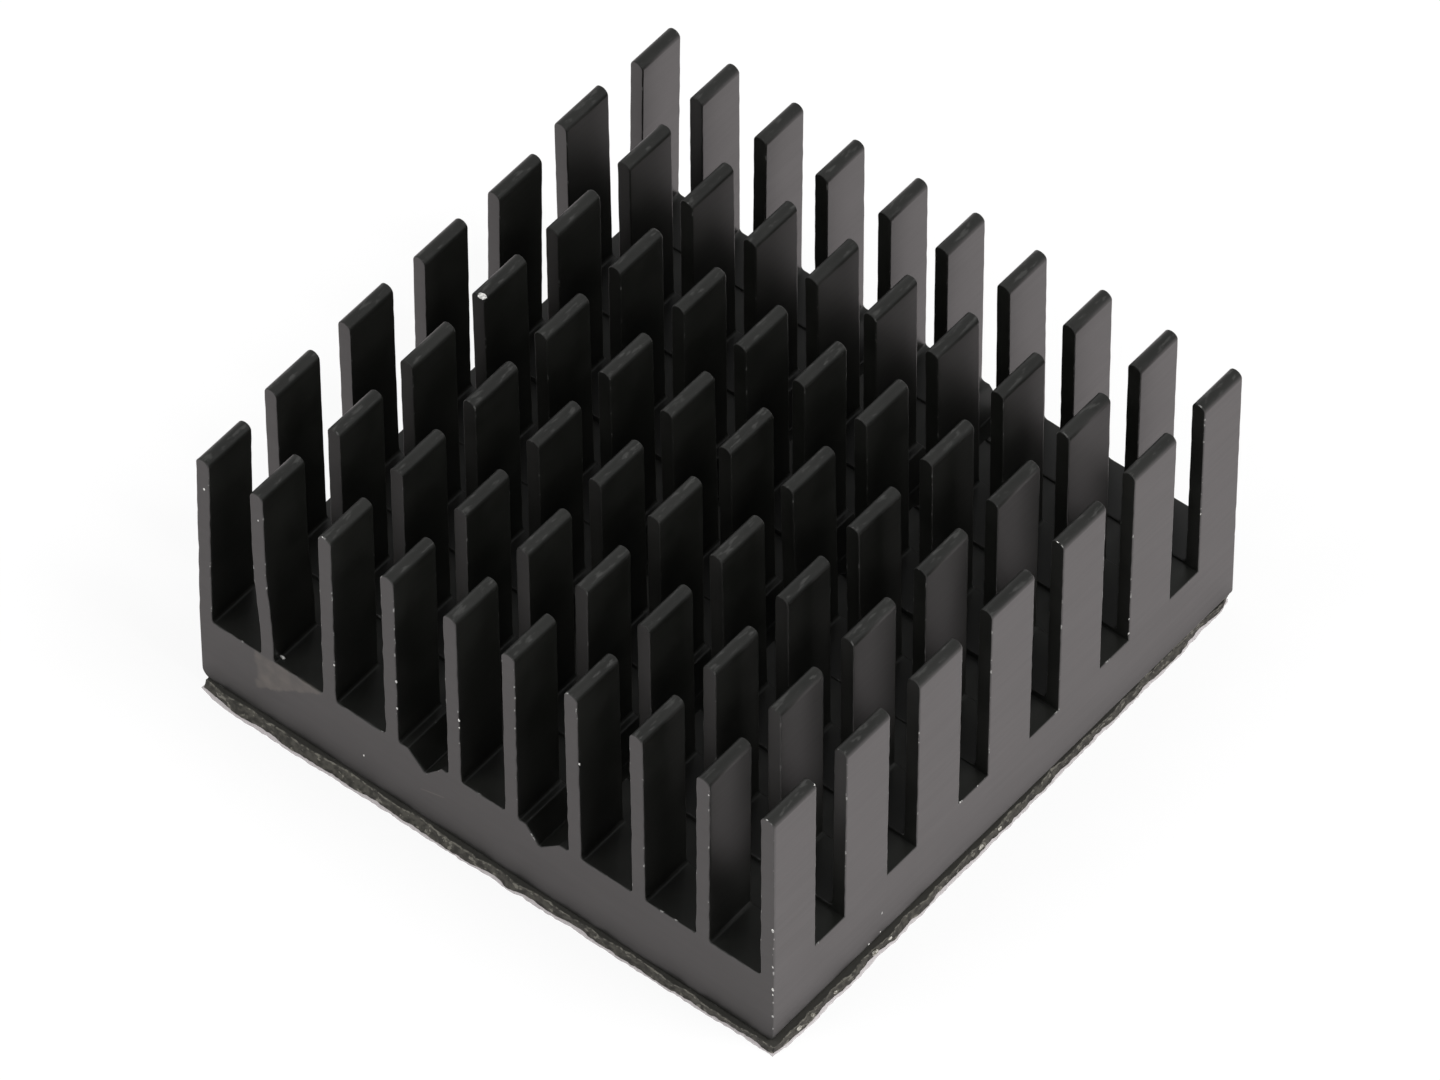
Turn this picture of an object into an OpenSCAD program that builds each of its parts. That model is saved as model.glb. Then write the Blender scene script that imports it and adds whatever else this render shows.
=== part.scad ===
// Cross-cut pin fin heat sink with an adhesive thermal pad and its release liner.
// One aluminium extrusion: a comb of round-tipped fins on a thick base, sawn
// across into rows so that every fin becomes a line of flat pins. Millimetres.
// X runs across the fins, Y along the extrusion, Z up. The origin is the middle
// of the underside, on the surface that the liner lies on.

/* [Fins] */
// Fins on each side of the middle channel
fins_per_side = 5; // [3:1:8]
// Fin thickness
fin_t = 1.0; // [0.6:0.05:1.6]
// Distance from fin to fin
fin_pitch = 4.95; // [3.5:0.05:8]
// Distance between the two middle fins, which stand closer
middle_pitch = 4.45; // [3.2:0.05:8]
// Height from the underside of the base to the fin tips
body_h = 21; // [14:0.5:40]

/* [Rows] */
// Rows of pins that the saw leaves, the two end rows counted
row_count = 7; // [3:1:12]
// Length of a pin along the extrusion
pin_len = 4.06; // [2:0.02:10]
// Length of the pins in the front row, left by the cut to length
front_pin_len = 3.98; // [1.5:0.02:10]
// Length of the pins in the back row
back_pin_len = 3.68; // [1.5:0.02:10]
// Width of the saw slot between rows
slot_w = 2.81; // [1:0.01:6]
// How far the saw runs below the floor of the channels
slot_extra = 0.2; // [0:0.05:1]

/* [Base] */
// Base thickness under the channels
base_t = 5.8; // [3:0.1:10]
// Radius of the two long bottom edges
edge_r = 0.7; // [0.2:0.1:1.5]
// Fillet radius where a pin meets the channel floor
root_r = 0.25; // [0.1:0.05:0.5]
// Width of the V groove in the channel on each side of the middle one
groove_w = 2.6; // [1:0.1:3]
// Depth of the V groove
groove_d = 1.3; // [0.4:0.1:2]
// Width of the small flat at the bottom of the V
groove_flat = 0.2; // [0.1:0.05:0.6]
// How far the groove lies from the middle of its channel, towards the middle of the body
groove_inward = 0.1; // [0:0.05:0.3]

/* [Adhesive pad] */
// Thickness of the thermal pad
pad_t = 0.65; // [0.3:0.05:2]
// How far the pad stands out past the base on each side
pad_overhang = 0.35; // [0:0.05:1]
// Turn of the hand-laid pad against the base, in degrees
pad_skew = 1.2; // [-1.5:0.1:1.5]
// Thickness of the release liner under the pad
liner_t = 0.1; // [0.05:0.05:0.3]
// How far the liner stands out past the pad on each side
liner_overhang = 0.1; // [0:0.05:1]

/* [Knocked pins] */
// Pins out of line: fin from the left, row from the front, shift of the tip
bent_pins = [
    [1, 1, 0.43], [1, 5, 0.2], [1, 6, -0.2], [1, 7, 0.2],
    [2, 1, -0.5], [7, 1, -0.14], [9, 1, 0.1], [9, 7, 0.1]
];

/* [Hidden] */
$fn = 48;

fin_count = 2 * fins_per_side;
body_w = (fin_count - 2) * fin_pitch + middle_pitch + fin_t;
slot_count = row_count - 1;
body_l = front_pin_len + back_pin_len + (row_count - 2) * pin_len + slot_count * slot_w;
base_z = liner_t + pad_t;
pin_h = body_h - base_t;
tip_r = fin_t / 2;
// cutters run this far past the faces that they cut
clear = 1;
// how far a root arc dips past the floor and the side of its pin
root_dip = 0.01;

// length of row r, from 1 at the front
function row_len(r) = r == 1 ? front_pin_len : r == row_count ? back_pin_len : pin_len;
// front face of row r, measured from the front of the body
function row_start(r) = r == 1 ? 0 : row_start(r - 1) + row_len(r - 1) + slot_w;
// middle of fin f, from 1 at the left
function fin_x(f) =
    f <= fins_per_side
        ? (f - fins_per_side) * fin_pitch - middle_pitch / 2
        : (f - fins_per_side - 1) * fin_pitch + middle_pitch / 2;
// middle of the channel between fins c and c + 1
function channel_x(c) = (fin_x(c) + fin_x(c + 1)) / 2;
// shift of the tip of one pin; zero where it stands straight
function tip_shift(f, r) =
    let (found = [for (b = bent_pins) if (b[0] == f && b[1] == r) b[2]])
    len(found) > 0 ? found[0] : 0;
// the channels that carry a V groove, and how far along X each groove lies from their middle
grooved = [fins_per_side - 1, fins_per_side + 1];
function groove_offset(c) = c < fins_per_side ? groove_inward : -groove_inward;

// V groove, drawn with its mouth on the channel floor
module groove_outline() {
    slope = (groove_w - groove_flat) / 2 / groove_d;
    polygon([
        [-groove_flat / 2, -groove_d], [groove_flat / 2, -groove_d],
        [groove_w / 2 + clear * slope, clear], [-groove_w / 2 - clear * slope, clear]
    ]);
}

// Section of the base: a bar with two rounded bottom edges and the grooves
module base_outline() {
    difference() {
        union() {
            translate([-body_w / 2, edge_r]) square([body_w, base_t - edge_r]);
            translate([-body_w / 2 + edge_r, 0]) square([body_w - 2 * edge_r, base_t]);
            for (side = [-1, 1])
                translate([side * (body_w / 2 - edge_r), edge_r]) circle(r = edge_r);
        }
        for (c = grooved)
            translate([channel_x(c) + groove_offset(c), base_t]) groove_outline();
    }
}

// One pin seen along the extrusion, its foot on the channel floor: parallel
// sides and a full round tip. A knocked pin leans about its foot.
module pin_outline(lean) {
    intersection() {
        rotate(-lean) {
            translate([-fin_t / 2, -clear]) square([fin_t, pin_h - tip_r + clear]);
            translate([0, pin_h - tip_r]) circle(r = tip_r);
        }
        translate([-pin_h, 0]) square([2 * pin_h, pin_h + clear]);
    }
}

// Fillet between the channel floor and the left (-1) or right (1) side of a pin,
// drawn from the middle of the pin's foot. The arc dips a hair into the floor and
// the side, also where the pin leans, so that it crosses them at a clear angle.
module root_outline(side, lean) {
    reach = root_r - root_dip;
    centre = [(side * (tip_r + reach) + reach * sin(lean)) / cos(lean), reach];
    to_pin = -side * root_r * [cos(lean), -sin(lean)];
    difference() {
        polygon([[0, 0], [centre[0], 0], centre, centre + to_pin]);
        translate(centre) circle(r = root_r);
    }
}

// One row of pins and their fillets; the outer sides run straight into the base
module row_outline(r) {
    for (f = [1:fin_count]) {
        lean = asin(tip_shift(f, r) / (pin_h - tip_r));
        translate([fin_x(f), base_t]) {
            pin_outline(lean);
            if (f > 1) root_outline(-1, lean);
            if (f < fin_count) root_outline(1, lean);
        }
    }
}

// Lays an outline drawn in X and Z along Y, from y for the given length
module along(y, length) {
    translate([0, y + length, 0]) rotate([90, 0, 0]) linear_extrude(length) children();
}

module heat_sink() {
    color([0.16, 0.16, 0.165])
    translate([0, -body_l / 2, base_z]) {
        difference() {
            union() {
                along(0, body_l) base_outline();
                for (r = [1:row_count])
                    along(row_start(r), row_len(r)) row_outline(r);
            }
            for (r = [1:slot_count])
                translate([-body_w, row_start(r) + row_len(r), base_t - slot_extra])
                    cube([2 * body_w, slot_w, body_h]);
        }
    }
}

// A sheet centred on the body, as large as it plus a margin on each side
module sheet(margin, thickness) {
    rotate(pad_skew)
        translate([-body_w / 2 - margin, -body_l / 2 - margin, 0])
            cube([body_w + 2 * margin, body_l + 2 * margin, thickness]);
}

module thermal_pad() {
    color([0.25, 0.25, 0.21])
        translate([0, 0, liner_t]) sheet(pad_overhang, pad_t);
}

module release_liner() {
    color([0.8, 0.82, 0.82])
        sheet(pad_overhang + liner_overhang, liner_t);
}

heat_sink();
thermal_pad();
release_liner();
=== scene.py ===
"""Looks of the cross-cut pin fin heat sink: anodised metal, adhesive pad and release liner.

The metal is rebuilt here with broken edges, saw burrs and small knocks, the pad and the
liner with their hand-cut edges. The part's lengths are in millimetres, and MM turns them
into metres. The floor and the lights are set in metres.
"""

import math

import bmesh
import bpy
from mathutils import Matrix, Vector, noise

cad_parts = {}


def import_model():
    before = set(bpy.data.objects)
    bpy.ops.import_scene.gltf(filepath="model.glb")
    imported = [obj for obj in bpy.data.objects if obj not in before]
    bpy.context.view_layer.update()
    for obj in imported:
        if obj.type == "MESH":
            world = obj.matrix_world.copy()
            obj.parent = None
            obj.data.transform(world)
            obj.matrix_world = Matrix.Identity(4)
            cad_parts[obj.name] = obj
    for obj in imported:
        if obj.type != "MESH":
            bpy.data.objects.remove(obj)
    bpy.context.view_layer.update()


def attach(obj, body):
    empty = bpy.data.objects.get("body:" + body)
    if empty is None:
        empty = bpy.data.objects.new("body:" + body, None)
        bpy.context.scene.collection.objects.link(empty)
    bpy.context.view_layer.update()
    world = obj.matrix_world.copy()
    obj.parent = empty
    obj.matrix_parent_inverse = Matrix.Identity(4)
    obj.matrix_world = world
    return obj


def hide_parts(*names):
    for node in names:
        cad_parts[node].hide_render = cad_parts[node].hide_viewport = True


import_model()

MM = 0.001

# Extrusion and saw cuts, the same sizes as in the part's source
FINS_PER_SIDE = 5
FIN_T = 1.0
FIN_PITCH = 4.95
MIDDLE_PITCH = 4.45
BODY_H = 21.0
ROW_LENGTHS = [3.98, 4.06, 4.06, 4.06, 4.06, 4.06, 3.68]
SLOT_W = 2.81
BASE_T = 5.8
ROOT_R = 0.25
GROOVE_D = 1.3
GROOVE_FLAT = 0.2
PAD_T = 0.65
LINER_T = 0.1

# Sizes that differ a little from the source's, which has one slot depth, one edge radius, a
# slightly narrower groove and one shift for both grooves
SLOT_DEPTHS = [0.33, 0.27, 0.11, 0.44, 0.27, 0.15]
LEFT_EDGE_R = 0.8
RIGHT_EDGE_R = 0.55
GROOVE_W = 2.65
# By the channel that a groove lies in: shift of its mouth and of its bottom from the middle
GROOVE_SHIFTS = {4: (0.1, 0.12), 6: (-0.05, -0.28)}

# Shift of the tips of a fin's inner pins, which lean together, and what a row adds to it. Those
# of the last fin lean the other way, alike in every row.
FIN_LEANS = {2: -0.08, 3: -0.08, 4: -0.05, 5: -0.16, 6: -0.05, 7: -0.21, 8: -0.1}
ROW_LEANS = {2: 0.08, 4: -0.12}
LAST_FIN_LEAN = 0.09
# Shift of the tip of each outer pin that is out of line: (fin from the left, row from the front)
TIP_SHIFTS = {
    (1, 1): 0.4, (1, 2): -0.05, (1, 3): -0.05, (1, 4): 0.1, (1, 5): 0.27, (1, 6): -0.17,
    (3, 1): 0.06, (5, 1): -0.08, (7, 1): -0.14, (8, 1): -0.06, (9, 1): 0.1, (10, 1): 0.06,
    (1, 7): 0.25, (3, 7): 0.13, (7, 7): -0.14, (8, 7): -0.04, (9, 7): 0.07, (10, 7): 0.04,
}
# The front pin of fin 2 is kinked: (fin, row), shift, and where up the pin the kink starts and ends
KINKED_PIN = (2, 1)
KINK_SHIFT = -0.34
KINK_FROM = 1.2
KINK_TO = 9.0

FIN_COUNT = 2 * FINS_PER_SIDE
ROW_COUNT = len(ROW_LENGTHS)
BODY_W = (FIN_COUNT - 2) * FIN_PITCH + MIDDLE_PITCH + FIN_T
BODY_L = sum(ROW_LENGTHS) + (ROW_COUNT - 1) * SLOT_W
HALF_W = BODY_W / 2
HALF_L = BODY_L / 2
TIP_R = FIN_T / 2
PIN_H = BODY_H - BASE_T
METAL_Z = PAD_T + LINER_T


# ---------------------------------------------------------------- small helpers

def fin_x(fin):
    """Middle of a fin, from 1 at the left."""
    if fin <= FINS_PER_SIDE:
        return (fin - FINS_PER_SIDE) * FIN_PITCH - MIDDLE_PITCH / 2
    return (fin - FINS_PER_SIDE - 1) * FIN_PITCH + MIDDLE_PITCH / 2


def between(a, b, share):
    """A number, a share of the way from a to b."""
    return a + (b - a) * share


def smooth_step(value, low, high):
    """0 below low, 1 above high, and a smooth S between."""
    t = min(1.0, max(0.0, (value - low) / (high - low)))
    return t * t * (3 - 2 * t)


def arc(cx, cz, radius, start, end, steps):
    """Points of an arc in the section plane, angles in degrees."""
    angles = [math.radians(start + (end - start) * i / steps) for i in range(steps + 1)]
    return [(cx + radius * math.cos(a), cz + radius * math.sin(a)) for a in angles]


def line(a, b, step):
    """Points from a up to but not including b, about step apart."""
    count = max(1, round(math.dist(a, b) / step))
    return [
        (a[0] + (b[0] - a[0]) * i / count, a[1] + (b[1] - a[1]) * i / count)
        for i in range(count)
    ]


def resampled(outline, count):
    """The closed outline as count points evenly spread over its own points."""
    total = len(outline)
    made = []
    for i in range(count):
        place = i * total / count
        k = int(place)
        a, b = outline[k], outline[(k + 1) % total]
        made.append((between(a[0], b[0], place - k), between(a[1], b[1], place - k)))
    return made


def wander(place, scale, seed):
    """Smooth repeatable noise from -1 to 1 at a point. Each seed gives noise of its own."""
    return noise.noise(Vector(place) * scale + Vector((seed * 7.31, seed * 3.17, seed * 5.71)))


def add_strip(bm, first, second):
    """Faces between two rows of vertices, which have as many each."""
    for a, b, c, d in zip(first, first[1:], second[1:], second):
        bm.faces.new((a, b, c, d))


def new_object(name, bm):
    """A mesh object from a bmesh in millimetres."""
    mesh = bpy.data.meshes.new(name)
    bmesh.ops.scale(bm, vec=(MM, MM, MM), verts=bm.verts)
    bm.to_mesh(mesh)
    bm.free()
    obj = bpy.data.objects.new(name, mesh)
    bpy.context.scene.collection.objects.link(obj)
    return obj


def shade(obj, angle):
    """Smooth shading that keeps edges over angle sharp and large faces flat."""
    mesh = obj.data
    mesh.polygons.foreach_set("use_smooth", [True] * len(mesh.polygons))
    mesh.set_sharp_from_angle(angle=math.radians(angle))
    weighted = obj.modifiers.new("flat_faces", "WEIGHTED_NORMAL")
    weighted.mode = "FACE_AREA"
    weighted.weight = 100
    weighted.keep_sharp = True


def dress(obj, material, node=None):
    """Gives a piece its material and slot, and puts it in the place of its CAD node, if any."""
    obj.data.materials.append(material)
    if node:
        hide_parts(node)
    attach(obj, "root")


# ---------------------------------------------------------------- heat sink

SIDE_STEP = 0.75
FLOOR_STEP = 0.2
TIP_STEPS = 16
ROOT_STEPS = 5
EDGE_STEPS = 10
# The strip behind a cut in which its outline strays, how far it strays and how finely
FRONT_LIP = 0.25
FRONT_STRAY = 0.07
SLOT_LIP = 0.12
SLOT_STRAY = 0.035
STRAY_SCALE = 1.4
# Height of the burr that the saw turned up on the channel floors of the front, how finely it
# comes and goes along them, and a bias that makes it cover more than half of them
BURR = 0.09
BURR_SCALE = 1.9
BURR_BIAS = 0.35
# Edges that turn by more than this many degrees are broken to this width
SHARP_ANGLE = 35
BEVEL_W = 0.07


def tip_shift(fin, row):
    """How far the tip of a pin leans to the right."""
    if fin == 1 or row in (1, ROW_COUNT):
        return TIP_SHIFTS.get((fin, row), 0.0)
    if fin == FIN_COUNT:
        return LAST_FIN_LEAN
    if fin in FIN_LEANS:
        return FIN_LEANS[fin] + ROW_LEANS.get(row, 0.0)
    return 0.0


def bend(x, z, fin, row):
    """A point of a pin moved with the knock that the pin has taken."""
    height = max(0.0, z - BASE_T)
    if (fin, row) == KINKED_PIN:
        return x + KINK_SHIFT * smooth_step(height, KINK_FROM, KINK_TO), z
    return x + tip_shift(fin, row) * height / PIN_H, z


def pin_points(fin, row, depth):
    """Outline of one pin from the right of its foot, over the tip, to the left of its foot."""
    x = fin_x(fin)
    right, left = x + TIP_R, x - TIP_R
    tip_z = BODY_H - TIP_R
    root_z = BASE_T + ROOT_R
    points = []
    if fin == FIN_COUNT:
        points += [(right, BASE_T - depth), (right, BASE_T)]
        points += line((right, BASE_T), (right, tip_z), SIDE_STEP)[1:]
    else:
        points += arc(right + ROOT_R, root_z, ROOT_R, 270, 180, ROOT_STEPS)
        points += line((right, root_z), (right, tip_z), SIDE_STEP)[1:]
    points += arc(x, tip_z, TIP_R, 0, 180, TIP_STEPS)
    if fin == 1:
        points += line((left, tip_z), (left, BASE_T), SIDE_STEP)[1:]
        points += [(left, BASE_T), (left, BASE_T - depth)]
    else:
        points += line((left, tip_z), (left, root_z), SIDE_STEP)[1:]
        points += arc(left - ROOT_R, root_z, ROOT_R, 0, -90, ROOT_STEPS)
    return [bend(px, pz, fin, row) for px, pz in points]


def groove_points(channel, depth):
    """Right wall, bottom and left wall of a groove, right to left, split at the slot's floor."""
    middle = (fin_x(channel) + fin_x(channel + 1)) / 2
    mouth_shift, bottom_shift = GROOVE_SHIFTS[channel]
    mouth, bottom = middle + mouth_shift, middle + bottom_shift

    def wall(side):
        """Points of one wall: at the channel floor, at the slot's floor and at the bottom."""
        top_x = mouth + side * GROOVE_W / 2
        low_x = bottom + side * GROOVE_FLAT / 2
        slot_x = between(top_x, low_x, depth / GROOVE_D)
        return (top_x, BASE_T), (slot_x, BASE_T - depth), (low_x, BASE_T - GROOVE_D)

    right_top, right_slot, right_low = wall(1)
    left_top, left_slot, left_low = wall(-1)
    return [right_top, right_slot], [right_low, left_low], [left_slot, left_top]


def upper_chains(row, depth):
    """The outline above the slot's floor in three runs, right to left, split at the grooves."""
    chains, run = [], []
    for fin in range(FIN_COUNT, 0, -1):
        run += pin_points(fin, row, depth)
        channel = fin - 1
        if channel in GROOVE_SHIFTS:
            right, _, left = groove_points(channel, depth)
            run += line(run[-1], right[0], FLOOR_STEP)[1:] + right
            chains.append(run)
            run = list(left)
        if fin > 1:
            next_foot = (fin_x(channel) + TIP_R + ROOT_R, BASE_T)
            run += line(run[-1], next_foot, FLOOR_STEP)[1:]
    chains.append(run)
    return chains


def lower_chains(depth):
    """The outline below the slot's floor: round the base, and the bottom of each groove."""
    base = [(-HALF_W, BASE_T - depth)]
    base += arc(-HALF_W + LEFT_EDGE_R, LEFT_EDGE_R, LEFT_EDGE_R, 180, 270, EDGE_STEPS)
    base += arc(HALF_W - RIGHT_EDGE_R, RIGHT_EDGE_R, RIGHT_EDGE_R, 270, 360, EDGE_STEPS)
    base += [(HALF_W, BASE_T - depth)]
    bottoms = []
    for channel in sorted(GROOVE_SHIFTS, reverse=True):
        right, bottom, left = groove_points(channel, depth)
        bottoms.append([right[-1], *bottom, left[0]])
    return [base, *bottoms]


def stray(x, z, y):
    """A point of a cut's outline out of true, with the saw's burr on the floors of the front."""
    front = y < -HALF_L + FRONT_LIP / 2
    amount = FRONT_STRAY if front else SLOT_STRAY
    moved_x = x + amount * wander((x, z, y), STRAY_SCALE, 1)
    moved_z = z + amount * wander((x, z, y), STRAY_SCALE, 2)
    if front and abs(z - BASE_T) < 0.01:
        moved_z += BURR * max(0.0, BURR_BIAS + wander((x, 0, 0), BURR_SCALE, 3))
    return moved_x, moved_z


def stations():
    """Four sections for each row: (y, depth of the slot next to it, whether it is a cut)."""
    rows = []
    y = -HALF_L
    for row, length in enumerate(ROW_LENGTHS, start=1):
        before = SLOT_DEPTHS[max(row - 2, 0)]
        after = SLOT_DEPTHS[min(row, ROW_COUNT - 1) - 1]
        lip = FRONT_LIP if row == 1 else SLOT_LIP
        rows.append([
            (y, before, True), (y + lip, before, False),
            (y + length - SLOT_LIP, after, False), (y + length, after, True),
        ])
        y += length + SLOT_W
    return rows


def run_vertices(bm, chain, y):
    """Vertices along one run of a section's outline."""
    return [bm.verts.new((x, y, z + METAL_Z)) for x, z in chain]


def run_ends(lower):
    """First and last vertex of each upper run, which it shares with the runs below it."""
    base, *bottoms = lower
    firsts = [base[-1]] + [bottom[-1] for bottom in bottoms]
    lasts = [bottom[0] for bottom in bottoms] + [base[0]]
    return list(zip(firsts, lasts))


def upper_runs(bm, row, station, lower):
    """Vertices of the three upper runs at a station, out of true where it is a cut."""
    y, depth, is_cut = station
    runs = []
    for chain, (first, last) in zip(upper_chains(row, depth), run_ends(lower)):
        inner = [stray(x, z, y) for x, z in chain[1:-1]] if is_cut else chain[1:-1]
        runs.append([first, *run_vertices(bm, inner, y), last])
    return runs


def whole_section(upper, lower):
    """One loop round a whole section, from its upper and its lower runs."""
    base, *bottoms = lower
    loop = list(upper[0])
    for bottom, run in zip(bottoms, upper[1:]):
        loop += bottom[1:-1] + run
    return loop + base[1:-1]


def add_strips(bm, near_section, far_section):
    """The faces between two sections, run by run."""
    for near_run, far_run in zip(near_section, far_section):
        add_strip(bm, near_run, far_run)


def break_edges(bm):
    """Bevels the sharp outer edges and marks the new faces as worn."""
    worn = bm.faces.layers.int.new("worn")
    limit = math.radians(SHARP_ANGLE)
    sharp = [
        edge for edge in bm.edges
        if len(edge.link_faces) == 2 and edge.is_convex and edge.calc_face_angle() > limit
    ]
    made = bmesh.ops.bevel(
        bm, geom=sharp, offset=BEVEL_W, offset_type="OFFSET", segments=2, profile=0.5,
        affect="EDGES", clamp_overlap=True,
    )
    for face in made["faces"]:
        face[worn] = 1


def heat_sink_mesh():
    """The whole extrusion as one closed mesh, then its sharp edges broken.

    The lower runs go through the part from front to back. The upper runs go through one row
    and end at the cuts before and behind it.
    """
    bm = bmesh.new()
    rows = stations()
    lowers = [
        [[run_vertices(bm, chain, y) for chain in lower_chains(depth)] for y, depth, _ in row]
        for row in rows
    ]
    front_to_back = [lower for row_lowers in lowers for lower in row_lowers]
    for near, far in zip(front_to_back, front_to_back[1:]):
        add_strips(bm, near, far)

    for row in range(1, ROW_COUNT + 1):
        row_lowers = lowers[row - 1]
        uppers = [
            upper_runs(bm, row, station, lower)
            for station, lower in zip(rows[row - 1], row_lowers)
        ]
        for near, far in zip(uppers, uppers[1:]):
            add_strips(bm, near, far)
        near_cuts = uppers[0] if row > 1 else [whole_section(uppers[0], row_lowers[0])]
        for outline in near_cuts:
            bm.faces.new(outline)
        far_cuts = uppers[-1] if row < ROW_COUNT else [whole_section(uppers[-1], row_lowers[-1])]
        for outline in far_cuts:
            bm.faces.new(outline[::-1])
        if row < ROW_COUNT:
            # The floor of the slot between this row and the next
            next_row_lowers = lowers[row]
            for near, far in zip(run_ends(row_lowers[-1]), run_ends(next_row_lowers[0])):
                bm.faces.new((*near, far[1], far[0]))
    bmesh.ops.recalc_face_normals(bm, faces=bm.faces)
    break_edges(bm)
    return bm


# ---------------------------------------------------------------- nicks in the metal

# Nicks down to bare metal: (z, size) down the corner between the front and the right side,
# (x, z, size) on the rest of the front, (y, z, size) on the right side
CORNER_X = HALF_W - 0.035
CORNER_NICKS = [(11.6, 0.1), (8.1, 0.07), (5.9, 0.09), (5.4, 0.05), (3.3, 0.08)]
FRONT_NICKS = [
    (-6.66, 12.35, 0.08), (-6.66, 9.8, 0.07), (-1.73, 12.5, 0.08), (-1.73, 11.8, 0.05),
    (-11.63, 10.1, 0.07), (-9.5, 3.06, 0.06), (7.67, 15.7, 0.07), (17.62, 20.6, 0.05),
    (-17.3, 19.4, 0.06), (-21.58, 19.1, 0.07),
]
SIDE_NICKS = [
    (-12.05, 3.1, 0.07), (-13.3, 1.3, 0.07), (-12.2, 1.4, 0.05), (-4.6, 6.5, 0.07),
    (-2.9, 6.45, 0.05), (11.8, 8.4, 0.06), (11.82, 7.0, 0.07), (18.73, 11.9, 0.06),
]
# The same on top of the pins: (x, y, size), and how deep their middles lie in the metal
TIP_NICKS = [
    (-16.98, -1.78, 0.26), (-12.15, -22.36, 0.08), (22.05, -22.36, 0.09),
    (22.38, -18.48, 0.1), (22.1, 5.02, 0.08),
]
TIP_NICK_SINK = 0.03
# A crumb of swarf left on the channel floor beside the kinked pin
SWARF = (-16.36, -21.8, 0.14)
# How far the surface of a nick or flake strays, as a share of its size, and how finely
FLAKE_STRAY = 0.45
FLAKE_SCALE = 1.1


def crest_z(x):
    """Height of the top of the pins over x, from the part's underside."""
    off = min(abs(x - fin_x(fin)) for fin in range(1, FIN_COUNT + 1))
    return METAL_Z + BODY_H - TIP_R + math.sqrt(max(0.0, TIP_R ** 2 - off ** 2))


def flake_mesh(places):
    """Small rough flakes, each half sunk at its place: (centre, form, size)."""
    bm = bmesh.new()
    for centre, form, size in places:
        middle = Vector(centre)
        made = bmesh.ops.create_icosphere(bm, subdivisions=2, radius=size)
        for vert in made["verts"]:
            rough_size = 1 + FLAKE_STRAY * wander(vert.co / size + middle, FLAKE_SCALE, 4)
            shaped = Vector([c * f for c, f in zip(vert.co, form)]) * rough_size
            vert.co = shaped + middle
    return bm


def nick_mesh():
    """The nicks on the front, the right side and the tips, and the crumb of swarf."""
    on_front = [(CORNER_X, z, size) for z, size in CORNER_NICKS] + FRONT_NICKS
    places = [((x, -HALF_L, z), (1, 0.35, 1.5), size) for x, z, size in on_front]
    places += [((HALF_W, y, z), (0.35, 1, 1.3), size) for y, z, size in SIDE_NICKS]
    places += [
        ((x, y, crest_z(x) - TIP_NICK_SINK), (1.2, 0.8, 0.35), size) for x, y, size in TIP_NICKS
    ]
    x, y, size = SWARF
    places.append(((x, y, BASE_T + METAL_Z + size / 2), (1.6, 0.6, 0.8), size))
    return flake_mesh(places)


# ---------------------------------------------------------------- pad and liner

SHEET_STEP = 0.2
# How far the pad stands out past the base at its bottom and top edge. It was laid askew, so the
# front and the right side change along their length: (in the middle, per millimetre). The back
# and the left side are in by the same all along.
FRONT_BOTTOM = (0.52, -0.0115)
FRONT_TOP = (0.25, 0.0)
RIGHT_BOTTOM = (0.22, -0.0135)
RIGHT_TOP = (0.05, -0.011)
BACK_OUT = -0.1
LEFT_OUT = -0.3
# How much is missing at the left end of the front and at both ends of the right side, and how
# fast that runs out
LEFT_CORNER_CUT = 0.6
RIGHT_CORNER_CUT = 0.35
CORNER_RUN = 1.2
# Rings up a sheet's side: (height from 0 at its bottom to 1 at its top, how far it is drawn in)
PAD_RINGS = [(0, 0.05), (0.08, 0), (0.3, 0), (0.55, 0), (0.8, 0), (0.95, 0), (1, 0.05)]
LINER_RINGS = [(0, 0.02), (0.3, 0), (0.7, 0), (1, 0.02)]
# How far the liner stands out past the pad
LINER_OUT = 0.1
# How fine the two kinds of raggedness are along a side, and how much finer up it
COARSE_SCALE = 0.55
FINE_SCALE = 2.7
UPWARD_SCALE = 1.6
# Pale flakes on the pad's right side: (y, size), and how high up it they are
PAD_FLAKES = [
    (-20.4, 0.2), (-19.1, 0.15), (-16.9, 0.11), (-13.05, 0.2),
    (-11.6, 0.16), (-7.4, 0.1), (-2.7, 0.18), (-0.8, 0.17),
]
PAD_FLAKE_HEIGHT = 0.55


def front_out(x, height):
    """How far the pad's front stands out, height from 0 at its bottom edge to 1 at its top."""
    bottom = FRONT_BOTTOM[0] + FRONT_BOTTOM[1] * x
    bottom -= LEFT_CORNER_CUT * math.exp(-(x + HALF_W) / CORNER_RUN)
    return between(bottom, FRONT_TOP[0] + FRONT_TOP[1] * x, height)


def right_out(y, height):
    """The same for the right side."""
    bottom = RIGHT_BOTTOM[0] + RIGHT_BOTTOM[1] * y
    from_ends = (max(0.0, y + HALF_L), max(0.0, HALF_L - y))
    bottom -= RIGHT_CORNER_CUT * sum(math.exp(-d / CORNER_RUN) for d in from_ends)
    return between(bottom, RIGHT_TOP[0] + RIGHT_TOP[1] * y, height)


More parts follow.
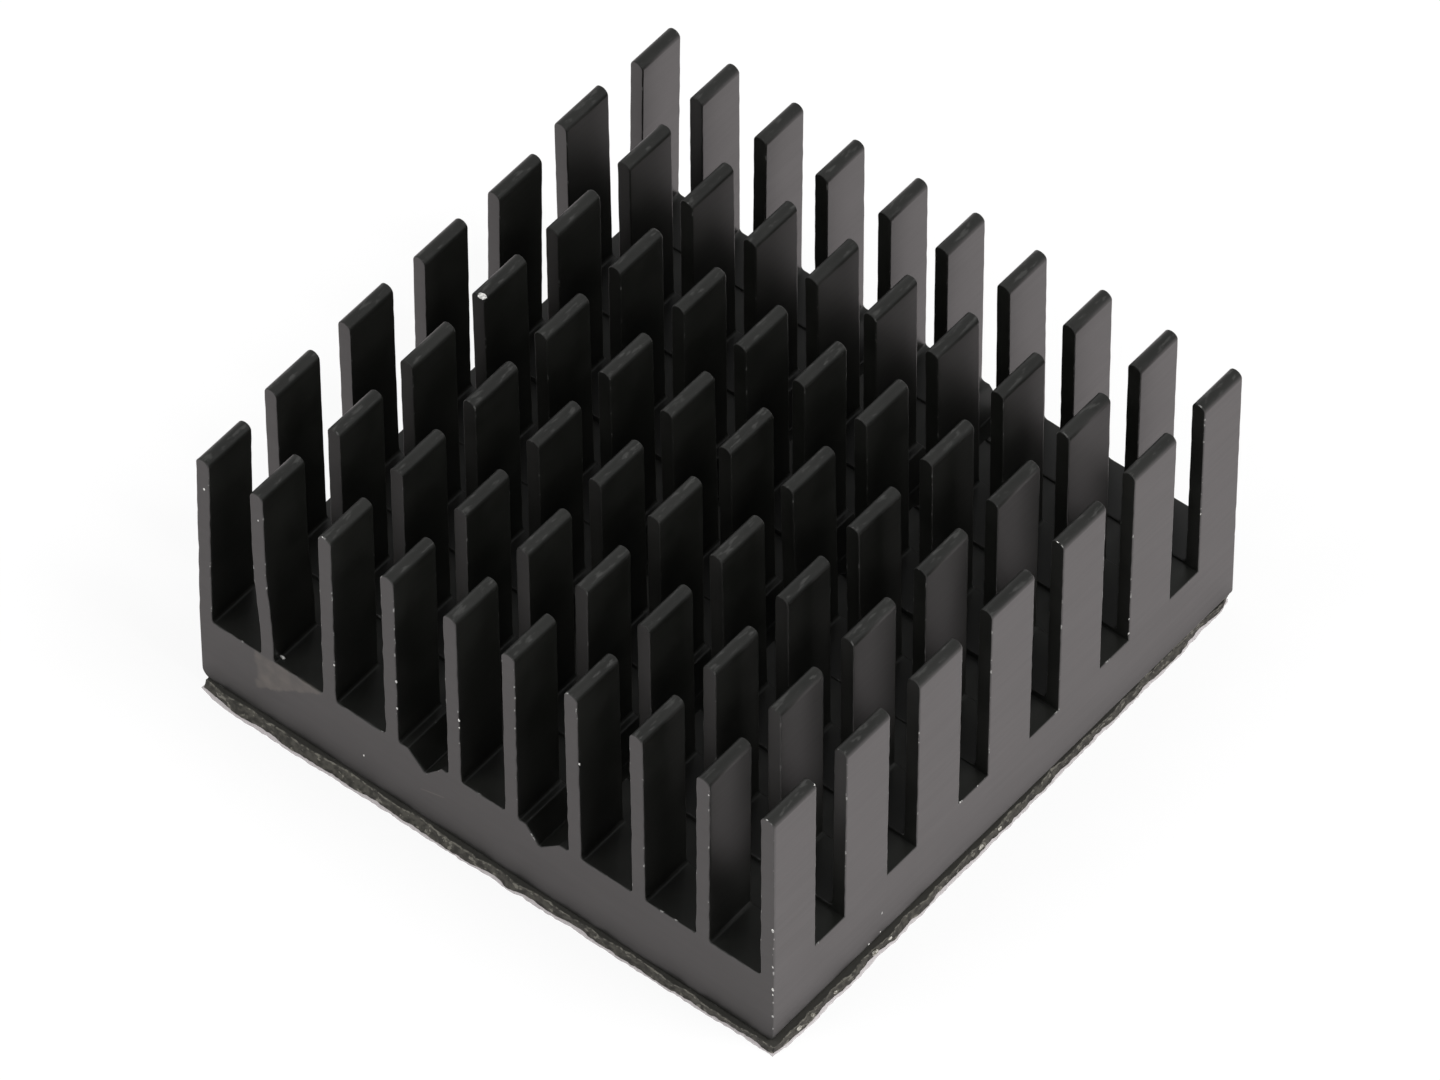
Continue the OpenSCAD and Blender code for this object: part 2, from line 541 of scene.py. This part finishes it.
def sheet_outline(height, extra):
    """Points round the pad at a height, the whole outline moved out by extra."""
    left = -HALF_W - LEFT_OUT - extra
    back = HALF_L + BACK_OUT + extra
    right_at_front = HALF_W + right_out(-HALF_L, height) + extra
    front_at_right = -HALF_L - front_out(HALF_W, height) - extra
    right_at_back = HALF_W + right_out(HALF_L, height) + extra
    front_at_left = -HALF_L - front_out(-HALF_W, height) - extra
    outline = []
    for x, _ in line((left, 0), (right_at_front, 0), SHEET_STEP):
        outline.append((x, -HALF_L - front_out(max(x, -HALF_W), height) - extra))
    for y, _ in line((front_at_right, 0), (back, 0), SHEET_STEP):
        outline.append((HALF_W + right_out(y, height) + extra, y))
    outline += line((right_at_back, back), (left, back), SHEET_STEP)
    outline += line((left, back), (left, front_at_left), SHEET_STEP)
    return outline


def sheet_mesh(z0, z1, rings, extra, coarse, fine, upright):
    """A thin sheet from z0 to z1 with hand-cut sides, the pad's outline moved out by extra.

    Coarse and fine are how far the two kinds of raggedness reach. An upright side follows the
    pad's bottom edge all the way up, and any other slants in as the pad's does.
    """
    bm = bmesh.new()
    count = len(sheet_outline(0, extra))
    loops = []
    for height, inset in rings:
        z = between(z0, z1, height)
        outline = resampled(sheet_outline(0 if upright else height, extra - inset), count)
        loop = []
        for x, y in outline:
            place = (x, y, UPWARD_SCALE * z)
            dx = coarse * wander(place, COARSE_SCALE, 5) + fine * wander(place, FINE_SCALE, 6)
            dy = coarse * wander(place, COARSE_SCALE, 7) + fine * wander(place, FINE_SCALE, 8)
            loop.append(bm.verts.new((x + dx, y + dy, z)))
        loops.append(loop)
    for lower, upper in zip(loops, loops[1:]):
        add_strip(bm, lower + lower[:1], upper + upper[:1])
    bm.faces.new(loops[0][::-1])
    bm.faces.new(loops[-1])
    bmesh.ops.recalc_face_normals(bm, faces=bm.faces)
    return bm


def pad_flake_mesh():
    """The pale flakes, half sunk in the pad's slanted right side."""
    height = PAD_FLAKE_HEIGHT
    z = LINER_T + height * PAD_T
    return flake_mesh([
        ((HALF_W + right_out(y, height), y, z), (0.7, 1.2, 0.8), size) for y, size in PAD_FLAKES
    ])


# ---------------------------------------------------------------- shader helpers

def principled(name):
    """A new material with its node tree and its Principled shader."""
    material = bpy.data.materials.new(name)
    material.use_nodes = True
    return material, material.node_tree, material.node_tree.nodes["Principled BSDF"]


def plug(tree, socket, value):
    """Sets a socket to a number or a colour, or links another socket to it."""
    if isinstance(value, bpy.types.NodeSocket):
        tree.links.new(value, socket)
    else:
        socket.default_value = value


def maths(tree, operation, a, b=0.0):
    """The result of one operation on two numbers or sockets."""
    made = tree.nodes.new("ShaderNodeMath")
    made.operation = operation
    plug(tree, made.inputs[0], a)
    plug(tree, made.inputs[1], b)
    return made.outputs[0]


def product(tree, first, *others):
    """All the values times each other."""
    result = first
    for value in others:
        result = maths(tree, "MULTIPLY", result, value)
    return result


def ramp(tree, value, low, high, at_low=0.0, at_high=1.0):
    """A smooth step of a value, clamped at both ends."""
    made = tree.nodes.new("ShaderNodeMapRange")
    made.interpolation_type = "SMOOTHSTEP"
    plug(tree, made.inputs["Value"], value)
    made.inputs["From Min"].default_value = low
    made.inputs["From Max"].default_value = high
    made.inputs["To Min"].default_value = at_low
    made.inputs["To Max"].default_value = at_high
    return made.outputs["Result"]


def coordinates(tree):
    """The object's own coordinates in millimetres, whole and split."""
    source = tree.nodes.new("ShaderNodeTexCoord")
    scaled = tree.nodes.new("ShaderNodeVectorMath")
    scaled.operation = "SCALE"
    scaled.inputs["Scale"].default_value = 1 / MM
    tree.links.new(source.outputs["Object"], scaled.inputs[0])
    split = tree.nodes.new("ShaderNodeSeparateXYZ")
    tree.links.new(scaled.outputs[0], split.inputs[0])
    return scaled.outputs[0], split.outputs


def speckle(tree, place, scale, stretch=(1, 1, 1), detail=2.0):
    """Noise from 0 to 1, scale per millimetre, made finer or coarser along each axis by stretch."""
    mapped = tree.nodes.new("ShaderNodeVectorMath")
    mapped.operation = "MULTIPLY"
    mapped.inputs[1].default_value = stretch
    tree.links.new(place, mapped.inputs[0])
    made = tree.nodes.new("ShaderNodeTexNoise")
    made.inputs["Scale"].default_value = scale
    made.inputs["Detail"].default_value = detail
    tree.links.new(mapped.outputs[0], made.inputs["Vector"])
    return made.outputs["Fac"]


def blend_numbers(tree, factor, a, b):
    """A number, a share of the way from a to b."""
    made = tree.nodes.new("ShaderNodeMix")
    plug(tree, made.inputs["Factor"], factor)
    plug(tree, made.inputs["A"], a)
    plug(tree, made.inputs["B"], b)
    return made.outputs["Result"]


def blend_colours(tree, factor, a, b):
    """A colour, a share of the way from a to b."""
    made = tree.nodes.new("ShaderNodeMix")
    made.data_type = "RGBA"
    # A node has sockets of the same names for numbers, vectors and colours, so these go by place
    plug(tree, made.inputs[0], factor)
    plug(tree, made.inputs[6], a)
    plug(tree, made.inputs[7], b)
    return made.outputs[2]


def bump(tree, height, depth_mm, shader):
    """Small relief on a shader, depth_mm deep."""
    made = tree.nodes.new("ShaderNodeBump")
    made.inputs["Strength"].default_value = 1.0
    made.inputs["Distance"].default_value = depth_mm * MM
    tree.links.new(height, made.inputs["Height"])
    tree.links.new(made.outputs[0], shader.inputs["Normal"])


# ---------------------------------------------------------------- materials

DARK_OXIDE = (0.0067, 0.007, 0.006, 1)
PALE_OXIDE = (0.0104, 0.0107, 0.0094, 1)
OXIDE_IOR = 1.6
OXIDE_RELIEF = 0.001
BARE_METAL = (0.3, 0.3, 0.29, 1)
# Two tones each for the broken metal, the loose filler and the pad itself
NICK_TONES = ((0.35, 0.35, 0.34, 1), (0.7, 0.69, 0.66, 1))
FLAKE_TONES = ((0.16, 0.15, 0.12, 1), (0.62, 0.6, 0.54, 1))
PAD_TONES = ((0.022, 0.021, 0.017, 1), (0.058, 0.055, 0.045, 1))
# Pale patches of the pad; the same pale is also a painted highlight along its top edge
PAD_PALE_AND_HIGHLIGHT = (0.2, 0.19, 0.16, 1)
# Painted shade where the pad's side meets the base above it
PAD_CREASE_SHADE = (0.034, 0.033, 0.029, 1)
PAD_RELIEF = 0.05
FILM_CLEAR = (0.9, 0.9, 0.9, 1)
FILM_IOR = 1.5
FILM_RELIEF = 0.02

# The stain and the scratch are on the front alone, and fade out over this stretch behind it
FRONT_SKIN = (-HALF_L + 0.08, -HALF_L + 0.12)
# The stain: its colour, its left end and the line below it, (x, z, rise per millimetre)
STAIN = (0.062, 0.053, 0.042, 1)
STAIN_LEFT = -18.2
STAIN_LINE = (-17.6, 3.1, 0.65)
# The scratch: its line, its middle, the stretch from there in which it fades, and its strength
SCRATCH_LINE = (-5.0, 3.4, 0.32)
SCRATCH_X = -4.05
SCRATCH_FADE = (0.85, 1.0)
SCRATCH_STRENGTH = 0.6


def above_line(tree, x, z, course):
    """How far a point of the front lies above a rising line: (x, z, rise per millimetre)."""
    line_x, line_z, rise = course
    climb = maths(tree, "MULTIPLY", maths(tree, "SUBTRACT", x, line_x), rise)
    return maths(tree, "SUBTRACT", maths(tree, "SUBTRACT", z, line_z), climb)


def stain_mask(tree, x, y, z, wobble):
    """The brownish stain on the front, under the left channels: cut off at its left and below."""
    from_left = maths(tree, "SUBTRACT", x, STAIN_LEFT)
    inside = maths(tree, "MINIMUM", from_left, above_line(tree, x, z, STAIN_LINE))
    ragged_inside = maths(tree, "ADD", inside, maths(tree, "SUBTRACT", wobble, 0.5))
    patches = ramp(tree, wobble, 0.3, 0.7, 0.35, 0.9)
    channel_z = BASE_T + METAL_Z
    return product(
        tree, ramp(tree, ragged_inside, 0.0, 0.3), patches, ramp(tree, y, *FRONT_SKIN, 1.0, 0.0),
        ramp(tree, z, channel_z - 0.15, channel_z + 0.1, 1.0, 0.0),
    )


def scratch_mask(tree, x, y, z):
    """The faint scratch on the front, under the left groove."""
    across = maths(tree, "ABSOLUTE", above_line(tree, x, z, SCRATCH_LINE))
    along = maths(tree, "ABSOLUTE", maths(tree, "SUBTRACT", x, SCRATCH_X))
    return product(
        tree, ramp(tree, across, 0.02, 0.06, 1.0, 0.0), ramp(tree, along, *SCRATCH_FADE, 1.0, 0.0),
        ramp(tree, y, *FRONT_SKIN, SCRATCH_STRENGTH, 0.0),
    )


def wear_mask(tree, place, x, y, z):
    """Flecks on the broken edges, most of them at the front and right, and rubs on the tips."""
    worn = tree.nodes.new("ShaderNodeAttribute")
    worn.attribute_name = "worn"
    handled = maths(
        tree, "MAXIMUM", ramp(tree, y, -HALF_L + 0.1, -HALF_L + 0.6, 1.0, 0.25),
        ramp(tree, x, HALF_W - 0.6, HALF_W - 0.2, 0.25, 1.0),
    )
    flecks = ramp(tree, speckle(tree, place, 1.7, detail=4.0), 0.6, 0.68, 0.03, 0.8)
    edges = product(tree, worn.outputs["Fac"], flecks, handled)
    crest = METAL_Z + BODY_H
    on_tip = ramp(tree, z, crest - 0.25, crest - 0.1)
    along_tip = speckle(tree, place, 2.6, stretch=(1.6, 0.4, 1), detail=4.0)
    rubbed = ramp(tree, along_tip, 0.56, 0.66, 0.0, 0.07)
    return maths(tree, "MAXIMUM", edges, maths(tree, "MULTIPLY", on_tip, rubbed))


def anodised():
    """Satin black oxide: blotchy, drawn along Y by the die, sawn on the cuts, worn at the edges."""
    material, tree, shader = principled("black_anodised")
    place, (x, y, z) = coordinates(tree)
    facing = tree.nodes.new("ShaderNodeSeparateXYZ")
    tree.links.new(tree.nodes.new("ShaderNodeTexCoord").outputs["Normal"], facing.inputs[0])
    on_cut = ramp(tree, maths(tree, "ABSOLUTE", facing.outputs["Y"]), 0.6, 0.9)

    blotches = speckle(tree, place, 0.3, detail=4.0)
    drawn = speckle(tree, place, 3.0, stretch=(1, 0.05, 1))
    sawn = speckle(tree, place, 2.2, stretch=(0.12, 1, 1))
    grain = speckle(tree, place, 14.0)
    lines = blend_numbers(tree, on_cut, drawn, sawn)

    oxide = blend_colours(tree, ramp(tree, blotches, 0.35, 0.65), DARK_OXIDE, PALE_OXIDE)
    stained = stain_mask(tree, x, y, z, speckle(tree, place, 0.9, detail=4.0))
    marks = maths(tree, "MAXIMUM", stained, scratch_mask(tree, x, y, z))
    marked = blend_colours(tree, marks, oxide, STAIN)
    bare = wear_mask(tree, place, x, y, z)
    plug(tree, shader.inputs["Base Color"], blend_colours(tree, bare, marked, BARE_METAL))

    uneven = maths(tree, "ADD", blotches, lines)
    plug(tree, shader.inputs["Roughness"], ramp(tree, uneven, 0.6, 1.4, 0.36, 0.41))
    shader.inputs["IOR"].default_value = OXIDE_IOR
    relief = maths(tree, "ADD", lines, maths(tree, "MULTIPLY", grain, 0.3))
    bump(tree, relief, OXIDE_RELIEF, shader)
    return material


def two_toned(name, scale, tones, roughness):
    """A matt material that is mottled in two tones."""
    material, tree, shader = principled(name)
    place, _ = coordinates(tree)
    share = ramp(tree, speckle(tree, place, scale), 0.35, 0.65)
    plug(tree, shader.inputs["Base Color"], blend_colours(tree, share, *tones))
    shader.inputs["Roughness"].default_value = roughness
    return material


def nick_metal():
    """Bare aluminium with a matt break."""
    return two_toned("nick_metal", scale=6.0, tones=NICK_TONES, roughness=0.5)


def pale_filler():
    """The pad's filler where it has crumbled into pale flakes."""
    return two_toned("pale_filler", scale=5.0, tones=FLAKE_TONES, roughness=0.6)


def pad_rubber():
    """Dark olive filler, crumbly on its cut sides, with a painted highlight along its top edge and
    painted shade where it meets the base.
    """
    material, tree, shader = principled("pad")
    place, (_, _, z) = coordinates(tree)
    crumbs = speckle(tree, place, 2.4, stretch=(1, 1, 1.6), detail=5.0)
    torn = speckle(tree, place, 1.9, stretch=(1, 1, 1.8), detail=3.0)
    patches = ramp(tree, torn, 0.6, 0.64, 0.0, 0.6)
    # Painted highlight: a broken pale line along the top edge of the pad's side
    top_highlight_band = ramp(tree, z, LINER_T + 0.82 * PAD_T, LINER_T + 0.9 * PAD_T, 0.0, 0.45)
    painted_top_highlight = maths(tree, "MULTIPLY", top_highlight_band, ramp(tree, speckle(tree, place, 3.4), 0.45, 0.55))
    ground = blend_colours(tree, ramp(tree, crumbs, 0.35, 0.65), *PAD_TONES)
    sides = blend_colours(tree, maths(tree, "MAXIMUM", patches, painted_top_highlight), ground, PAD_PALE_AND_HIGHLIGHT)
    # Painted shade: the top of the pad's side darker where it meets the base
    painted_contact_shade = ramp(tree, z, LINER_T + 0.96 * PAD_T, LINER_T + 0.99 * PAD_T)
    plug(tree, shader.inputs["Base Color"], blend_colours(tree, painted_contact_shade, sides, PAD_CREASE_SHADE))
    shader.inputs["Roughness"].default_value = 0.65
    bump(tree, crumbs, PAD_RELIEF, shader)
    return material


def clear_film():
    """Clear liner film, a little wavy."""
    material, tree, shader = principled("liner")
    place, _ = coordinates(tree)
    shader.inputs["Base Color"].default_value = FILM_CLEAR
    cloudy = ramp(tree, speckle(tree, place, 1.2), 0.3, 0.7, 0.06, 0.16)
    plug(tree, shader.inputs["Roughness"], cloudy)
    shader.inputs["IOR"].default_value = FILM_IOR
    shader.inputs["Transmission Weight"].default_value = 0.9
    bump(tree, speckle(tree, place, 0.7), FILM_RELIEF, shader)
    return material


# ---------------------------------------------------------------- camera, stage and light

# The photograph's view, in degrees and millimetres: the direction of the camera from the part,
# its turn about its own axis, its distance and the point that it looks at
AZIMUTH = 39.4701
ELEVATION = 50.2184
ROLL = -0.2595
DISTANCE = 793.2058
AIM = Vector((-0.603, 0.884, 8.542))
LENS = 325.21
SENSOR = 36

# Painted light in the floor as the metal mirrors it: its level off the front, a painted shade, and
# off the right side, a painted light; how far to each side of the corner the two blend, its share
# against the lit floor and its pinkish tint
MIRROR_FRONT = 0.86
MIRROR_RIGHT = 1.2
MIRROR_BLEND = 1.5
MIRROR_SHARE = 0.9
MIRROR_TINT = (1.0, 0.925, 0.935, 1)
# The painted contact shadow in it: its level right at the pad, how far it reaches, and the
# outline that it starts from: left, right, front, back
CONTACT_LEVEL = 0.55
CONTACT_REACH = 1.35
CONTACT_BOX = (-HALF_W, HALF_W + 0.15, -HALF_L - 0.5, HALF_L)
# The floor that the camera sees: its size and colour, and the share of it that glows by itself
FLOOR_SIZE = 3
FLOOR_PALE = (0.95, 0.95, 0.95, 1)
CAMERA_SHARE = 0.85

# Strength of the grey light round the part and of the ceiling in reflections, and how steeply
# a reflection looks up where it is all ceiling
WORLD_LIGHT = 0.5
CEILING_LIGHT = 0.36
CEILING_SLOPE = 0.77
WHITE = (1, 1, 1, 1)


def camera():
    """The photograph's view: a long lens 0.8 m away, from the front right and above."""
    azimuth, elevation, roll = map(math.radians, (AZIMUTH, ELEVATION, ROLL))
    back = Vector((
        math.sin(azimuth) * math.cos(elevation),
        -math.cos(azimuth) * math.cos(elevation),
        math.sin(elevation),
    ))
    right = Vector((math.cos(azimuth), math.sin(azimuth), 0))
    up = back.cross(right)
    turned_right = right * math.cos(roll) + up * math.sin(roll)
    turned_up = up * math.cos(roll) - right * math.sin(roll)
    data = bpy.data.cameras.new("camera")
    data.sensor_width = SENSOR
    data.lens = LENS
    data.clip_start = 0.05
    data.clip_end = 20
    obj = bpy.data.objects.new("camera", data)
    axes = Matrix((turned_right, turned_up, back)).transposed().to_4x4()
    obj.matrix_world = Matrix.Translation((AIM + back * DISTANCE) * MM) @ axes
    bpy.context.scene.collection.objects.link(obj)
    bpy.context.scene.camera = obj


def outside(tree, past_low, past_high):
    """How far a place is past either end of a stretch, and 0 within it."""
    return maths(tree, "MAXIMUM", maths(tree, "MAXIMUM", past_high, past_low), 0.0)


def mirrored_floor(tree):
    """Strength of the floor in reflections: a painted contact shadow round the pad, painted shade
    off the front and painted light off the right.
    """
    _, (x, y, _) = coordinates(tree)
    left, right, front, back = CONTACT_BOX
    past_right = maths(tree, "SUBTRACT", x, right)
    past_front = maths(tree, "SUBTRACT", front, y)
    aside = outside(tree, maths(tree, "SUBTRACT", left, x), past_right)
    ahead = outside(tree, maths(tree, "SUBTRACT", y, back), past_front)
    squares = maths(
        tree, "ADD", maths(tree, "POWER", aside, 2.0), maths(tree, "POWER", ahead, 2.0),
    )
    distance = maths(tree, "SQRT", squares)
    # Painted contact shadow: the glow dimmer close to the pad
    contact = ramp(tree, distance, 0.0, CONTACT_REACH, CONTACT_LEVEL, 1.0)
    # Painted light and shade: the glow brighter off the right side than off the front
    corner = maths(tree, "SUBTRACT", past_right, past_front)
    level = ramp(tree, corner, -MIRROR_BLEND, MIRROR_BLEND, MIRROR_FRONT, MIRROR_RIGHT)
    return maths(tree, "MULTIPLY", contact, level)


def floor():
    """Plain pale floor: it keeps the shadow for the camera, and glows by itself in reflections, with
    painted shade and light.
    """
    bpy.ops.mesh.primitive_plane_add(size=FLOOR_SIZE, location=(0, 0, 0))
    obj = bpy.context.object
    obj.name = "floor"
    material = bpy.data.materials.new("floor_white")
    material.use_nodes = True
    tree = material.node_tree
    tree.nodes.clear()
    out = tree.nodes.new("ShaderNodeOutputMaterial")
    mix = tree.nodes.new("ShaderNodeMixShader")
    diffuse = tree.nodes.new("ShaderNodeBsdfDiffuse")
    glow = tree.nodes.new("ShaderNodeEmission")
    path = tree.nodes.new("ShaderNodeLightPath")
    diffuse.inputs["Color"].default_value = FLOOR_PALE
    glossy = path.outputs["Is Glossy Ray"]
    seen = maths(tree, "MULTIPLY", path.outputs["Is Camera Ray"], CAMERA_SHARE)
    share = maths(tree, "MAXIMUM", seen, maths(tree, "MULTIPLY", glossy, MIRROR_SHARE))
    plain = maths(tree, "SUBTRACT", 1.0, glossy)
    strength = maths(tree, "ADD", plain, maths(tree, "MULTIPLY", glossy, mirrored_floor(tree)))
    tree.links.new(strength, glow.inputs["Strength"])
    plug(tree, glow.inputs["Color"], blend_colours(tree, glossy, WHITE, MIRROR_TINT))
    tree.links.new(share, mix.inputs[0])
    tree.links.new(diffuse.outputs[0], mix.inputs[1])
    tree.links.new(glow.outputs[0], mix.inputs[2])
    tree.links.new(mix.outputs[0], out.inputs["Surface"])
    obj.data.materials.append(material)


def world():
    """White for the camera and through glass, and soft grey light for everything else.

    In reflections it is a studio whose ceiling is dimmer than its walls.
    """
    made = bpy.data.worlds.new("studio")
    made.use_nodes = True
    bpy.context.scene.world = made
    tree = made.node_tree
    shader = tree.nodes["Background"]
    path = tree.nodes.new("ShaderNodeLightPath")
    direction = tree.nodes.new("ShaderNodeTexCoord")
    split = tree.nodes.new("ShaderNodeSeparateXYZ")
    tree.links.new(direction.outputs["Generated"], split.inputs[0])
    mirrored = ramp(tree, split.outputs["Z"], 0.0, CEILING_SLOPE, WORLD_LIGHT, CEILING_LIGHT)
    light = blend_numbers(tree, path.outputs["Is Glossy Ray"], WORLD_LIGHT, mirrored)
    seen = maths(tree, "MAXIMUM", path.outputs["Is Camera Ray"], path.outputs["Is Transmission Ray"])
    shader.inputs["Color"].default_value = WHITE
    tree.links.new(maths(tree, "MAXIMUM", seen, light), shader.inputs["Strength"])


def softbox(name, location, size, watts):
    """A square area light that points at the part and isn't mirrored in it."""
    data = bpy.data.lights.new(name, "AREA")
    data.shape = "SQUARE"
    data.size = size
    data.energy = watts
    obj = bpy.data.objects.new(name, data)
    obj.location = location
    obj.rotation_mode = "QUATERNION"
    obj.rotation_quaternion = Vector(location).to_track_quat("Z", "Y")
    obj.visible_glossy = False
    bpy.context.scene.collection.objects.link(obj)


# ---------------------------------------------------------------- assembly

camera()
world()
floor()
softbox("key", location=(0.7, 0.2, 0.9), size=0.6, watts=10)
softbox("fill", location=(-0.4, -0.7, 0.8), size=0.6, watts=6)

metal = new_object("pin_fin_extrusion", heat_sink_mesh())
shade(metal, angle=50)
dress(metal, anodised(), "heat_sink")

nicks = new_object("edge_nicks", nick_mesh())
dress(nicks, nick_metal())

pad = new_object("adhesive_pad", sheet_mesh(
    LINER_T, METAL_Z, PAD_RINGS, extra=0.0, coarse=0.2, fine=0.09, upright=False,
))
shade(pad, angle=40)
dress(pad, pad_rubber(), "thermal_pad")

flakes = new_object("pad_flakes", pad_flake_mesh())
dress(flakes, pale_filler())

liner = new_object("clear_liner", sheet_mesh(
    0.0, LINER_T, LINER_RINGS, extra=LINER_OUT, coarse=0.08, fine=0.09, upright=True,
))
shade(liner, angle=40)
dress(liner, clear_film(), "release_liner")

bpy.context.scene.view_settings.view_transform = "Standard"
